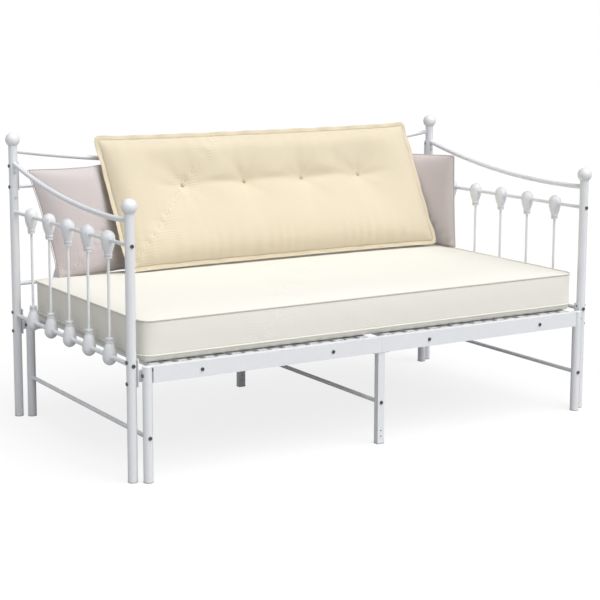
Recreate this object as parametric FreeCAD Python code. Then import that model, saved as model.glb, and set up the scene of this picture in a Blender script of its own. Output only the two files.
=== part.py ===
# Pull-out daybed. A fixed steel frame with four round posts, two arms and a back carries a slatted
# deck, and a second slatted frame on its own legs slides out to the front under the same mattress.
# Millimetres. X runs along the bed, +Y points to the back, +Z is up. The origin lies on the floor
# under the middle of the footprint.
import FreeCAD, Part
import math
import os

# ---- Driving dimensions: overall ----
post_span = 2050.0            # between post centres along the bed
post_depth = 1060.0           # between post centres front to back
front_ball_height = 972.0     # centre of a front finial above the floor
rear_ball_height = 1126.0     # centre of a rear finial above the floor

# ---- Posts, finials and feet ----
post_radius = 17.5
post_wall = 1.5
ball_radius = 29.0
plug_clearance = 0.2          # between a plug and the tube it is pushed into
ball_stem_length = 28.0
foot_height = 4.0
foot_lip = 0.6                # how far a foot stands out past its tube
foot_stem_length = 22.0
foot_rounding = 1.5

# ---- Arm and back rails ----
small_rail_radius = 7.0       # casting rails
lower_rail_radius = 8.0
top_rail_radius = 9.5
rail_wall = 1.3
seam_turn = 20.0              # turns a bent rail's seam line away from the posts
arm_mid_height = 837.0
arm_low_height = 418.0
arm_top_front_height = 922.0
arm_top_rear_height = 1034.0
arm_top_sag = 37.0            # below the straight line between its two ends
back_top_height = 1082.0
back_top_sag = 79.0
back_mid_height = 938.0
back_low_height = 546.0
arm_spindle_count = 5
back_spindle_count = 10
spindle_radius = 5.0
spindle_wall = 1.2

# ---- Castings that hold the spindles on the rails ----
casting_radius = 25.5
casting_dome = 34.0           # rail centre to the rounded end
casting_reach = 66.0          # rail centre to the collar end
casting_waist_radius = 12.5
collar_radius = 15.0
collar_height = 7.0
collar_groove = 2.5
casting_boss_wall = 4.5       # metal round the rail
casting_neck_wall = 4.0       # metal round the spindle between the collars
casting_dome_fullness = 0.79  # width of the dome two thirds of the way up, as a share
casting_dome_level = 0.66
casting_taper_fullness = 0.83  # width of the taper at its middle, as a share
casting_taper_level = 0.55
spindle_seat = 20.0           # how deep a spindle sits in its casting

# ---- Bolts ----
bolt_radius = 4.0
bolt_head_radius = 7.0
bolt_head_height = 3.2
bolt_socket_radius = 3.0
bolt_socket_depth = 1.8
bolt_hole_clearance = 0.2
insert_length = 20.0
insert_setback = 1.0
bolt_reach = 17.0             # how far a rail bolt reaches into its insert
plug_cap_radius = 6.0         # push-in plugs that close the posts' spare holes
plug_cap_height = 1.2
plug_peg_length = 6.0

# ---- Main deck ----
main_rail_width = 20.0
main_rail_height = 42.0
main_rail_wall = 1.6
rear_rail_setback = 3.0       # rear rail stands this far behind the rear posts' centres
plate_thickness = 4.0
plate_width = 30.0
plate_height = 100.0
plate_drop = 59.0             # plate's lower end below the top of its rail
plate_bolt_drop = 46.0        # lower bolt below the top of the rail
plate_bolt_rise = 30.0        # upper bolt above it
back_plate_width = 20.0
back_plate_height = 110.0
back_plate_bolt_rise = 84.0   # second bolt above the back's middle rail
plug_front_heights = (894.0, 995.0)
slat_width = 38.0
slat_side_gap = 7.5           # outermost slat to the end of the pull-out's rail
slat_wall = 1.2
slat_corner = 4.0

# ---- Pull-out frame ----
leg_radius = 17.5
leg_side_clearance = 3.8      # leg bolt heads to the end plates they pass
leg_front_clearance = 2.5     # front legs to the main front rail
leg_rear_clearance = 3.0      # rear legs to the main rear rail
leg_wall = 1.5
front_rail_top = 415.0
front_rail_height = 58.0
front_rail_depth = 30.0
front_rail_wall = 2.0
front_rail_bolt_drop = 31.0   # face and leg bolts below the rail's top
rail_joint_gap = 0.6
rail_screw_spacing = 45.0
rail_screw_radius = 3.0
rail_screw_head_radius = 5.0
rail_screw_head_height = 2.2
rail_screw_length = 12.0
shelf_bolt_spare = 6.0         # a shelf bolt shows this far behind the shelf
slide_clearance = 0.8         # between the sliding deck and the main deck
pull_slat_height = 12.2
slat_pad_thickness = 2.0
slats_each_side = 8
bolted_slats = (2, 7)         # slats whose shelf bolts show on the rail's face
crossbar_width = 25.0
crossbar_height = 40.0
crossbar_wall = 1.6
end_block_length = 25.0
shelf_thickness = 2.0
shelf_drop = 30.0
shelf_end_gap = 1.0
joiner_length = 100.0
middle_leg_width = 30.0
middle_leg_depth = 25.0
middle_leg_wall = 1.6
middle_leg_plate = 3.0
middle_leg_plate_length = 70.0
middle_leg_holes = (30.0, 52.0)  # heights of two small holes in each middle leg
middle_leg_hole_radius = 3.0
cap_stem_length = 16.0        # how deep a cap or a square foot goes into its leg
tie_rod_radius = 8.0
tie_rod_height = 162.0
tie_rod_wall = 1.5
stop_gap = 5.0                # rear leg to main front rail when pulled right out
bumper_radius = 8.0
bumper_slack = 0.5
bumper_spacing = 1200.0

# ---- Soft goods ----
mattress_end_gap = 1.0        # between the mattress and the arms' castings
mattress_back_gap = 58.0      # mattress to the rear posts' centres
mattress_height = 170.0
mattress_clearance = 0.6      # above the pull-out's front rail
mattress_overhang = 22.0      # past the front posts' centres
mattress_corner = 45.0
mattress_edge = 14.0
cushion_left_gap = 393.0      # lower left corner to the left posts' centres
cushion_right_gap = 103.0     # lower right corner to the right posts' centres
cushion_thickness = 78.0
soft_taper = 60.0             # end of a pad over which its thickness falls away
cushion_skew = 60.0           # top edge slumps this far to the left
cushion_foot = 215.0          # lower edge in front of the rear posts' centres
cushion_head = 26.0           # upper edge in front of the rear posts' centres
cushion_rise_height = 544.0   # lower edge to upper edge
button_first = 346.0          # cushion's left end to the first button
button_last = 326.0           # last button to the cushion's right end
button_count = 4
button_level = 0.6            # share of the way up the cushion
button_radius = 11.0
button_thickness = 5.0
pillow_thickness = 90.0
pillow_tip = 12.0
left_pillow_gap = 145.0       # lower left corner to the left posts' centres
left_pillow_skew = 120.0      # top edge slumps this far to the left
left_pillow_tuck = 80.0       # inner end behind the cushion's lower left corner
left_pillow_front = 126.0     # front side in front of the rear posts' centres
left_pillow_shoulder = 8.0    # full thickness ends this far outside the cushion's lower left corner
left_pillow_neck = 40.0       # length over which it thins to its squeezed end
left_pillow_tail = 20.0       # thickness of that end
left_pillow_height = 425.0
right_pillow_height = 400.0
right_pillow_lean = 14.0
right_pillow_gap = 40.0       # corner of the pillow to the post's centre line

# ---- Worked out from the values above ----
leg_forward = main_rail_width / 2 + leg_front_clearance + leg_radius
front_overhang = leg_forward + leg_radius + bolt_head_height
row_middle = (front_overhang - ball_radius) / 2
front_row = row_middle - post_depth / 2
rear_row = row_middle + post_depth / 2
half_span = post_span / 2
plate_face = half_span - post_radius
main_rail_end = plate_face - plate_thickness
leg_x = main_rail_end - leg_side_clearance - bolt_head_height - leg_radius
front_leg_y = front_row - leg_forward
rear_leg_y = rear_row + rear_rail_setback - main_rail_width / 2 - leg_rear_clearance - leg_radius
channel_end = leg_x - leg_radius
slat_pitch = (channel_end - slat_width / 2 - slat_side_gap) / (slats_each_side + 0.5)
rear_rail_y = rear_row + rear_rail_setback
ball_seat = math.sqrt(ball_radius ** 2 - post_radius ** 2)
front_post_top = front_ball_height - ball_seat
rear_post_top = rear_ball_height - ball_seat
front_leg_top = front_rail_top - front_rail_wall
pull_slat_bottom = front_leg_top - pull_slat_height
main_rail_top = pull_slat_bottom - slide_clearance
front_rail_bolt_height = front_rail_top - front_rail_bolt_drop
plate_bottom = main_rail_top - plate_drop
plate_bolt_low = main_rail_top - plate_bolt_drop
plate_bolt_high = main_rail_top + plate_bolt_rise
crossbar_top = pull_slat_bottom - slat_pad_thickness
mattress_bottom = front_rail_top + mattress_clearance
mattress_top = mattress_bottom + mattress_height
main_slat_height = mattress_bottom - main_rail_top
mattress_length = 2 * (half_span - casting_radius - mattress_end_gap)
mattress_width = post_depth + mattress_overhang - mattress_back_gap
cushion_left = cushion_left_gap - half_span
cushion_right = half_span - cushion_right_gap
cushion_length = cushion_right - cushion_left
button_pitch = (cushion_length - button_first - button_last) / (button_count - 1)
left_pillow_left = left_pillow_gap - half_span
left_pillow_right = cushion_left + left_pillow_tuck
loose_hole = bolt_radius + bolt_hole_clearance
travel = rear_leg_y - (front_row + main_rail_width / 2 + leg_radius + stop_gap)

up = FreeCAD.Vector(0, 0, 1)


def vec(x, y, z):
    return FreeCAD.Vector(x, y, z)


def box(x0, x1, y0, y1, z0, z1):
    return Part.makeBox(x1 - x0, y1 - y0, z1 - z0, vec(x0, y0, z0))


def rod(radius, start, end):
    """Solid round bar between two points."""
    run = end - start
    return Part.makeCylinder(radius, run.Length, start, run)


def tube(radius, wall, start, end):
    """Round tube between two points."""
    return rod(radius, start, end).cut(rod(radius - wall, start, end))


def square_tube(x0, x1, y0, y1, z0, z1, wall, along):
    """Rectangular tube, open at its ends along one axis."""
    inner = {"x": (0, wall, wall), "y": (wall, 0, wall), "z": (wall, wall, 0)}[along]
    hollow = box(x0 + inner[0], x1 - inner[0], y0 + inner[1], y1 - inner[1], z0 + inner[2], z1 - inner[2])
    return box(x0, x1, y0, y1, z0, z1).cut(hollow)


def save(name, *solids):
    """Write one node. Loose pieces of one node stay separate solids."""
    pieces = []
    for shape in solids:
        pieces.extend(shape.Solids)
    shape = pieces[0] if len(pieces) == 1 else Part.makeCompound(pieces)
    shape.exportStep("parts/" + name + ".step")


def bolt(seat, direction, length, carrier=None):
    """Socket-head bolt. The head's underside is at the seat and the shank runs along direction."""
    head = rod(bolt_head_radius, seat - direction * bolt_head_height, seat)
    rim = [edge for edge in head.Edges if edge.Curve.TypeId == "Part::GeomCircle"]
    outer = [edge for edge in rim if (edge.Curve.Center - seat).Length > bolt_head_height / 2]
    head = head.makeFillet(bolt_head_height / 3, outer)
    socket_top = seat - direction * bolt_head_height
    head = head.cut(rod(bolt_socket_radius, socket_top, socket_top + direction * bolt_socket_depth))
    if carrier is not None:
        skirt = rod(bolt_head_radius, seat, seat + direction * post_radius)
        head = head.fuse(skirt).cut(carrier)
    return head.fuse(rod(bolt_radius, seat, seat + direction * length)).removeSplitter()


def foot(x, y, radius, wall):
    """Plastic foot: a rounded base under the tube and a stem pushed up into it."""
    base = Part.makeCylinder(radius + foot_lip, foot_height, vec(x, y, 0))
    low = [edge for edge in base.Edges if edge.BoundBox.ZMax < foot_height / 2]
    base = base.makeFillet(foot_rounding, low)
    stem = Part.makeCylinder(radius - wall - plug_clearance, foot_stem_length, vec(x, y, foot_height))
    return base.fuse(stem)


os.makedirs("parts", exist_ok=True)

# ---- Posts: round tubes with bolt holes, each with a ball finial on top and a foot below ----
post_places = {
    "front_left": (-half_span, front_row, front_post_top),
    "front_right": (half_span, front_row, front_post_top),
    "rear_left": (-half_span, rear_row, rear_post_top),
    "rear_right": (half_span, rear_row, rear_post_top),
}
post_cores = {}
main_feet = []
main_bolts = []
hole_plugs = []
for name, (x, y, top) in post_places.items():
    core = rod(post_radius, vec(x, y, foot_height), vec(x, y, top))
    post_cores[name] = core
    side = math.copysign(1.0, x)
    facing = -1.0 if y < row_middle else 1.0
    shell = tube(post_radius, post_wall, vec(x, y, foot_height), vec(x, y, top))
    main_feet.append(foot(x, y, post_radius, post_wall))
    # arm rail bolts run front to back through the post
    for height in (arm_mid_height, arm_low_height):
        outside = vec(x, y + facing * post_radius, height)
        inside = vec(x, y - facing * post_radius, height)
        shell = shell.cut(rod(loose_hole, outside, inside))
        reach = 2 * post_radius + insert_setback + bolt_reach
        main_bolts.append(bolt(outside, vec(0, -facing, 0), reach, core))
    # deck rail bolts run along the bed through the post into the rail's end plate
    heights = [plate_bolt_low, plate_bolt_high]
    if facing > 0:
        heights += [back_mid_height, back_mid_height + back_plate_bolt_rise]
    for height in heights:
        outside = vec(x + side * post_radius, y, height)
        inside = vec(x - side * post_radius, y, height)
        shell = shell.cut(rod(loose_hole, outside, inside))
        reach = 2 * post_radius + plate_thickness
        main_bolts.append(bolt(outside, vec(-side, 0, 0), reach, core))
    if facing > 0:
        # spare holes in the front of each rear post, closed by push-in plugs
        for height in plug_front_heights:
            mouth = vec(x, y - post_radius, height)
            shell = shell.cut(rod(loose_hole, mouth, vec(x, y, height)))
            cap_front = mouth - vec(0, plug_cap_height, 0)
            cap = rod(plug_cap_radius, cap_front, mouth + vec(0, post_radius / 2, 0)).cut(core)
            peg = rod(bolt_radius, mouth, mouth + vec(0, plug_peg_length, 0))
            hole_plugs.append(cap.fuse(peg))
    save("post_" + name, shell)

finials = []
for x, y, top in post_places.values():
    ball = Part.makeSphere(ball_radius, vec(x, y, top + ball_seat))
    above = box(x - ball_radius, x + ball_radius, y - ball_radius, y + ball_radius, top, top + 2 * ball_radius)
    ball = ball.common(above)
    stem_radius = post_radius - post_wall - plug_clearance
    stem = rod(stem_radius, vec(x, y, top - ball_stem_length), vec(x, y, top))
    finials.append(ball.fuse(stem))
save("finials", *finials)
save("main_feet", *main_feet)
save("main_bolts", *main_bolts)
save("post_hole_plugs", *hole_plugs)


# ---- Castings: domed knuckles that clamp a spindle to a rail ----
def casting_blank(flip):
    """Turned outline about Z with the rail's centre at the origin. The dome points up unless flipped."""
    waist = -casting_reach + 2 * collar_height + collar_groove
    neck = spindle_radius + casting_neck_wall
    second = -casting_reach + collar_height
    dome_middle = vec(casting_radius * casting_dome_fullness, 0, casting_dome * casting_dome_level)
    outline = [
        Part.Arc(vec(0, 0, casting_dome), dome_middle, vec(casting_radius, 0, 0)).toShape(),
        Part.Arc(
            vec(casting_radius, 0, 0),
            vec(casting_radius * casting_taper_fullness, 0, waist * casting_taper_level),
            vec(casting_waist_radius, 0, waist),
        ).toShape(),
    ]
    steps = [
        (casting_waist_radius, waist),
        (collar_radius, waist),
        (collar_radius, waist - collar_height),
        (neck, waist - collar_height),
        (neck, second),
        (collar_radius - 1.0, second),
        (collar_radius - 1.0, -casting_reach),
        (0, -casting_reach),
        (0, casting_dome),
    ]
    for (r0, z0), (r1, z1) in zip(steps, steps[1:]):
        outline.append(Part.LineSegment(vec(r0, 0, z0), vec(r1, 0, z1)).toShape())
    solid = Part.Face(Part.Wire(Part.__sortEdges__(outline))).revolve(vec(0, 0, 0), up, 360)
    if flip:
        solid = solid.mirror(vec(0, 0, 0), up)
    return solid


def castings(places, direction, rail_radius, flip):
    """One casting per place, bored for the rail and for the spindle."""
    made = []
    sense = 1.0 if flip else -1.0
    for place in places:
        solid = casting_blank(flip)
        solid.translate(place)
        boss_reach = direction * casting_radius
        boss = rod(rail_radius + casting_boss_wall, place - boss_reach, place + boss_reach)
        solid = solid.fuse(boss)
        bore_reach = direction * casting_reach
        solid = solid.cut(rod(rail_radius, place - bore_reach, place + bore_reach))
        mouth = place + up * sense * casting_reach
        solid = solid.cut(rod(spindle_radius, mouth, mouth - up * sense * spindle_seat))
        made.append(solid)
    return made


def spindles(places, low, high):
    bottom = low + casting_reach - spindle_seat
    top = high - casting_reach + spindle_seat
    return [tube(spindle_radius, spindle_wall, vec(x, y, bottom), vec(x, y, top)) for x, y in places]


def sagging_tube(start, end, sag, radius, wall, posts):
    """Round tube bent to one arc that hangs below the line between its ends, cut to fit the posts."""
    chord = end - start
    half = chord.Length / 2
    bend = (half ** 2 + sag ** 2) / (2 * sag)
    along = vec(chord.x, chord.y, chord.z)
    along.normalize()
    sideways = up.cross(along)
    sideways.normalize()
    lift = along.cross(sideways)
    centre = start + chord * 0.5 + lift * (bend - sag)
    spoke = start - centre
    turn = math.degrees(2 * math.asin(half / bend))
    pieces = []
    for size in (radius, radius - wall):
        circle = Part.Circle(start, spoke.cross(sideways), size)
        disc = Part.Face(Part.Wire(circle.toShape()))
        disc.rotate(start, spoke.cross(sideways), seam_turn)
        pieces.append(disc.revolve(centre, sideways, -turn))
    return pieces[0].cut(posts).cut(pieces[1])


def rail_inserts(start, end, radius):
    """Threaded inserts pressed into both ends of a rail between two posts."""
    run = end - start
    run.normalize()
    made = []
    for origin, direction in ((start, run), (end, run * -1)):
        near = origin + direction * (post_radius + insert_setback)
        far = near + direction * insert_length
        made.append(tube(radius, radius - bolt_radius, near, far))
    return made


# ---- Arms: a sagging top rail over two straight rails joined by spindles ----
arm_pitch = post_depth / (arm_spindle_count + 1)
arm_inserts = []
for side_name, side in (("left", -1.0), ("right", 1.0)):
    x = side * half_span
    front_core = post_cores["front_" + side_name]
    rear_core = post_cores["rear_" + side_name]
    ends = front_core.fuse(rear_core)
    top_rail = sagging_tube(
        vec(x, front_row, arm_top_front_height),
        vec(x, rear_row, arm_top_rear_height),
        arm_top_sag, top_rail_radius, rail_wall, ends,
    )
    save(side_name + "_arm_top_rail", top_rail)
    for part_name, height, radius in (
        ("middle", arm_mid_height, small_rail_radius),
        ("lower", arm_low_height, lower_rail_radius),
    ):
        start = vec(x, front_row, height)
        end = vec(x, rear_row, height)
        save(side_name + "_arm_" + part_name + "_rail", tube(radius, rail_wall, start, end).cut(ends))
        arm_inserts += rail_inserts(start, end, radius - rail_wall)
    rows = [front_row + arm_pitch * (i + 1) for i in range(arm_spindle_count)]
    upper = [vec(x, y, arm_mid_height) for y in rows]
    lower = [vec(x, y, arm_low_height) for y in rows]
    save(side_name + "_arm_upper_castings", *castings(upper, vec(0, 1, 0), small_rail_radius, False))
    save(side_name + "_arm_lower_castings", *castings(lower, vec(0, 1, 0), lower_rail_radius, True))
    save(side_name + "_arm_spindles", *spindles([(x, y) for y in rows], arm_low_height, arm_mid_height))
save("arm_rail_inserts", *arm_inserts)

# ---- Back: the same build between the rear posts ----
rear_ends = post_cores["rear_left"].fuse(post_cores["rear_right"])
back_top = sagging_tube(
    vec(-half_span, rear_row, back_top_height),
    vec(half_span, rear_row, back_top_height),
    back_top_sag, top_rail_radius, rail_wall, rear_ends,
)
save("back_top_rail", back_top)
mid_end = plate_face - plate_thickness
save("back_middle_rail", tube(
    small_rail_radius, rail_wall,
    vec(-mid_end, rear_row, back_mid_height), vec(mid_end, rear_row, back_mid_height),
))
save("back_lower_rail", tube(
    lower_rail_radius, rail_wall,
    vec(-half_span, rear_row, back_low_height), vec(half_span, rear_row, back_low_height),
).cut(rear_ends))
back_pitch = post_span / (back_spindle_count + 1)
columns = [-half_span + back_pitch * (i + 1) for i in range(back_spindle_count)]
upper = [vec(x, rear_row, back_mid_height) for x in columns]
lower = [vec(x, rear_row, back_low_height) for x in columns]
save("back_upper_castings", *castings(upper, vec(1, 0, 0), small_rail_radius, False))
save("back_lower_castings", *castings(lower, vec(1, 0, 0), lower_rail_radius, True))
save("back_spindles", *spindles([(x, rear_row) for x in columns], back_low_height, back_mid_height))


# ---- End plates: welded to the rails and bolted to the posts ----
def end_plate(side, y, width, bottom, height, bolt_heights):
    outer = side * plate_face
    inner = side * (plate_face - plate_thickness)
    plate = box(min(outer, inner), max(outer, inner), y - width / 2, y + width / 2, bottom, bottom + height)
    for bolt_height in bolt_heights:
        plate = plate.cut(rod(bolt_radius, vec(outer, y, bolt_height), vec(inner, y, bolt_height)))
    return plate


back_plates = []
rail_plates = []
for side in (-1.0, 1.0):
    bolts_here = (back_mid_height, back_mid_height + back_plate_bolt_rise)
    bottom = back_mid_height - (back_plate_height - back_plate_bolt_rise) / 2
    back_plates.append(end_plate(side, rear_row, back_plate_width, bottom, back_plate_height, bolts_here))
    for y in (front_row, rear_row):
        heights = (plate_bolt_low, plate_bolt_high)
        rail_plates.append(end_plate(side, y, plate_width, plate_bottom, plate_height, heights))
save("back_end_plates", *back_plates)
save("rail_end_plates", *rail_plates)

# ---- Main deck: two rails between the plates and fixed slats across them ----
rail_bottom = main_rail_top - main_rail_height
for name, y in (("main_front_rail", front_row), ("main_rear_rail", rear_rail_y)):
    save(name, square_tube(
        -main_rail_end, main_rail_end, y - main_rail_width / 2, y + main_rail_width / 2,
        rail_bottom, main_rail_top, main_rail_wall, "x",
    ))


def slat(x, y0, y1, z0, height):
    """Flat steel slat: a rectangular tube with rounded long edges."""
    body = box(x - slat_width / 2, x + slat_width / 2, y0, y1, z0, z0 + height)
    edges = [edge for edge in body.Edges if edge.BoundBox.YLength > slat_width]
    body = body.makeFillet(slat_corner, edges)
    hollow = box(
        x - slat_width / 2 + slat_wall, x + slat_width / 2 - slat_wall, y0, y1,
        z0 + slat_wall, z0 + height - slat_wall,
    )
    edges = [edge for edge in hollow.Edges if edge.BoundBox.YLength > slat_width]
    return body.cut(hollow.makeFillet(slat_corner - slat_wall, edges))


main_slats = []
for i in range(-slats_each_side - 1, slats_each_side + 1):
    x = (i + 0.5) * slat_pitch
    y0 = front_row - main_rail_width / 2
    y1 = rear_rail_y + main_rail_width / 2
    main_slats.append(slat(x, y0, y1, main_rail_top, main_slat_height))
save("main_slats", *main_slats)

# ---- Pull-out frame: corner legs ----
leg_places = {
    "front_left": (-leg_x, front_leg_y, front_leg_top),
    "front_right": (leg_x, front_leg_y, front_leg_top),
    "rear_left": (-leg_x, rear_leg_y, crossbar_top),
    "rear_right": (leg_x, rear_leg_y, crossbar_top),
}
leg_cores = {}
pull_feet = []
pull_bolts = []
leg_caps = []
crossbar_middle = crossbar_top - crossbar_height / 2
for name, (x, y, top) in leg_places.items():
    core = rod(leg_radius, vec(x, y, foot_height), vec(x, y, top))
    leg_cores[name] = core
    side = math.copysign(1.0, x)
    facing = -1.0 if y < row_middle else 1.0
    shell = tube(leg_radius, leg_wall, vec(x, y, foot_height), vec(x, y, top))
    pull_feet.append(foot(x, y, leg_radius, leg_wall))
    height = front_rail_bolt_height if facing < 0 else crossbar_middle
    outside = vec(x + side * leg_radius, y, height)
    shell = shell.cut(rod(loose_hole, outside, vec(x - side * leg_radius, y, height)))
    pull_bolts.append(bolt(outside, vec(-side, 0, 0), 2 * leg_radius + bolt_reach, core))
    outside = vec(x, y + facing * leg_radius, tie_rod_height)
    shell = shell.cut(rod(loose_hole, outside, vec(x, y - facing * leg_radius, tie_rod_height)))
    pull_bolts.append(bolt(outside, vec(0, -facing, 0), 2 * leg_radius + insert_setback + bolt_reach, core))
    cap = rod(leg_radius - leg_wall - plug_clearance, vec(x, y, top - cap_stem_length), vec(x, y, top))
    if facing < 0:
        cap = cap.cut(rod(rail_screw_radius, vec(x, y, top - rail_screw_length), vec(x, y, top)))
    leg_caps.append(cap)
    save("pullout_leg_" + name, shell)
save("pullout_leg_caps", *leg_caps)

# ---- Pull-out frame: middle legs ----
middle_top = {"front": front_rail_top - front_rail_height, "rear": crossbar_top - crossbar_height}
for name, y in (("front", front_leg_y), ("rear", rear_leg_y)):
    top = middle_top[name] - middle_leg_plate
    hw = middle_leg_width / 2
    hd = middle_leg_depth / 2
    leg = square_tube(-hw, hw, y - hd, y + hd, foot_height, top, middle_leg_wall, "z")
    head = box(
        -middle_leg_plate_length / 2, middle_leg_plate_length / 2,
        y - hd, y + hd, top, top + middle_leg_plate,
    )
    for height in middle_leg_holes:
        leg = leg.cut(rod(middle_leg_hole_radius, vec(0, y - hd, height), vec(0, y, height)))
    facing = -1.0 if name == "front" else 1.0
    through = vec(0, y + facing * hd, tie_rod_height)
    leg = leg.cut(rod(loose_hole, through, vec(0, y - facing * hd, tie_rod_height)))
    reach = middle_leg_depth + insert_setback + bolt_reach
    pull_bolts.append(bolt(through, vec(0, -facing, 0), reach))
    save("pullout_leg_middle_" + name, leg.fuse(head))
    base = box(-hw - foot_lip, hw + foot_lip, y - hd - foot_lip, y + hd + foot_lip, 0, foot_height)
    inner = middle_leg_wall + plug_clearance
    stem_top = foot_height + cap_stem_length
    stem = box(-hw + inner, hw - inner, y - hd + inner, y + hd - inner, foot_height, stem_top)
    pull_feet.append(base.fuse(stem))
save("pullout_feet", *pull_feet)

# ---- Tie rods: one between each pair of legs ----
rods = []
rod_inserts = []
all_legs = leg_cores["front_left"].fuse([leg_cores[n] for n in ("front_right", "rear_left", "rear_right")])
for x in (-leg_x, 0.0, leg_x):
    setback = leg_radius if x else middle_leg_depth / 2
    start = vec(x, front_leg_y, tie_rod_height)
    end = vec(x, rear_leg_y, tie_rod_height)
    if x:
        rods.append(tube(tie_rod_radius, tie_rod_wall, start, end).cut(all_legs))
    else:
        inset = vec(0, setback, 0)
        rods.append(tube(tie_rod_radius, tie_rod_wall, start + inset, end - inset))
    for y, sense in ((front_leg_y, 1.0), (rear_leg_y, -1.0)):
        near = vec(x, y + sense * (setback + insert_setback), tie_rod_height)
        far = near + vec(0, sense * insert_length, 0)
        insert_radius = tie_rod_radius - tie_rod_wall
        rod_inserts.append(tube(insert_radius, insert_radius - bolt_radius, near, far))
save("tie_rods_side", rods[0], rods[2])
save("tie_rod_middle", rods[1])
save("tie_rod_inserts", *rod_inserts)

# ---- Pull-out front rail: two folded channels that meet in the middle ----
rail_y0 = front_leg_y - front_rail_depth / 2
rail_y1 = front_leg_y + front_rail_depth / 2
rail_z0 = front_rail_top - front_rail_height
screw_places = [(x, front_leg_y) for x in (-leg_x, -rail_screw_spacing / 2, rail_screw_spacing / 2, leg_x)]
face_bolt_places = [sign * k * slat_pitch for k in bolted_slats for sign in (-1, 1)]
for name, side in (("left", -1.0), ("right", 1.0)):
    near = side * rail_joint_gap / 2
    x0, x1 = sorted((near, side * leg_x))
    outside = box(x0, x1, rail_y0, rail_y1, rail_z0, front_rail_top)
    hollow = box(
        x0 - 1, x1 + 1, rail_y0 + front_rail_wall, rail_y1 + 1,
        rail_z0 + front_rail_wall, front_rail_top - front_rail_wall,
    )
    channel = outside.cut(hollow).cut(leg_cores["front_" + name])
    strap = box(
        *sorted((near, side * (leg_x + leg_radius))), rail_y0, rail_y1,
        front_rail_top - front_rail_wall, front_rail_top,
    )
    tips = [e for e in strap.Edges if e.BoundBox.ZLength > front_rail_wall / 2 and e.BoundBox.XLength < 0.1]
    tips = [e for e in tips if abs(e.BoundBox.XMin) > leg_x]
    strap = strap.makeFillet(front_rail_depth / 3, tips)
    front_half = box(*sorted((near, side * channel_end)), rail_y0, rail_y1, rail_z0, front_rail_top)
    channel = channel.common(front_half).cut(leg_cores["front_" + name]).fuse(strap)
    for x in face_bolt_places:
        if x * side > 0:
            face = vec(x, rail_y0, front_rail_bolt_height)
            channel = channel.cut(rod(bolt_radius, face, face + vec(0, front_rail_depth, 0)))
    for x, y in screw_places:
        channel = channel.cut(rod(rail_screw_radius, vec(x, y, front_leg_top), vec(x, y, front_rail_top)))
    save("pullout_front_rail_" + name, channel.removeSplitter())

# blocks in the rail's ends take the leg bolts, and a shelf bolted to the rail carries the slats
block_end = channel_end - end_block_length
end_blocks = []
for side in (-1.0, 1.0):
    x0, x1 = sorted((side * block_end, side * leg_x))
    block = box(
        x0, x1, rail_y0 + front_rail_wall, rail_y1 - front_rail_wall,
        rail_z0 + front_rail_wall, pull_slat_bottom - shelf_thickness,
    )
    block = block.cut(all_legs)
    middle = vec(side * leg_x, front_leg_y, front_rail_bolt_height)
    inside_rail = box(*sorted((side * block_end, side * channel_end)), rail_y0, rail_y1, 0, front_rail_top)
    block = block.common(inside_rail)
    reach = vec(side * (leg_radius + bolt_reach), 0, 0)
    end_blocks.append(block.cut(rod(bolt_radius, middle, middle - reach)))

shelf_end = block_end - shelf_end_gap
shelf_y = rail_y0 + front_rail_wall
shelf = box(
    -shelf_end, shelf_end, shelf_y, rail_y1 - front_rail_wall,
    pull_slat_bottom - shelf_thickness, pull_slat_bottom,
)
shelf = shelf.fuse(box(
    -shelf_end, shelf_end, shelf_y, shelf_y + shelf_thickness,
    pull_slat_bottom - shelf_drop, pull_slat_bottom,
))
for x in face_bolt_places:
    seat = vec(x, rail_y0, front_rail_bolt_height)
    shelf = shelf.cut(rod(bolt_radius, seat, seat + vec(0, front_rail_depth, 0)))
    pull_bolts.append(bolt(seat, vec(0, 1, 0), front_rail_wall + shelf_thickness + shelf_bolt_spare))
save("pullout_slat_shelf", shelf.removeSplitter())
save("pullout_bolts", *pull_bolts)

joiner = box(
    -joiner_length / 2, joiner_length / 2, shelf_y, rail_y1 - front_rail_wall,
    pull_slat_bottom, front_leg_top,
)
screws = []
for x, y in screw_places:
    bottom = vec(x, y, front_rail_top - rail_screw_length)
    seat = vec(x, y, front_rail_top)
    joiner = joiner.cut(rod(rail_screw_radius, bottom, seat))
    head = rod(rail_screw_head_radius, seat, seat + up * rail_screw_head_height)
    rim = [edge for edge in head.Edges if edge.BoundBox.ZMin > front_rail_top + rail_screw_head_height / 2]
    head = head.makeFillet(rail_screw_head_height * 0.6, rim)
    screws.append(head.fuse(rod(rail_screw_radius, bottom, seat)))
save("pullout_rail_joiner", joiner)
save("pullout_rail_screws", *screws)

# ---- Pull-out rear crossbar, its pads, and the sliding slats ----
crossbar_y0 = rear_leg_y - crossbar_width / 2
crossbar_y1 = rear_leg_y + crossbar_width / 2
crossbar = square_tube(
    -leg_x, leg_x, crossbar_y0, crossbar_y1,
    crossbar_top - crossbar_height, crossbar_top, crossbar_wall, "x",
)
crossbar = crossbar.cut(all_legs)
crossbar = crossbar.common(box(-channel_end, channel_end, crossbar_y0, crossbar_y1, 0, crossbar_top))
save("pullout_crossbar", crossbar)
for side in (-1.0, 1.0):
    x0, x1 = sorted((side * block_end, side * channel_end))
    block = box(
        x0, x1, crossbar_y0 + crossbar_wall, crossbar_y1 - crossbar_wall,
        crossbar_top - crossbar_height + crossbar_wall, crossbar_top - crossbar_wall,
    ).cut(all_legs)
    middle = vec(side * leg_x, rear_leg_y, crossbar_middle)
    reach = vec(side * (leg_radius + bolt_reach), 0, 0)
    end_blocks.append(block.cut(rod(bolt_radius, middle, middle - reach)))
save("pullout_end_blocks", *end_blocks)

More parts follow.
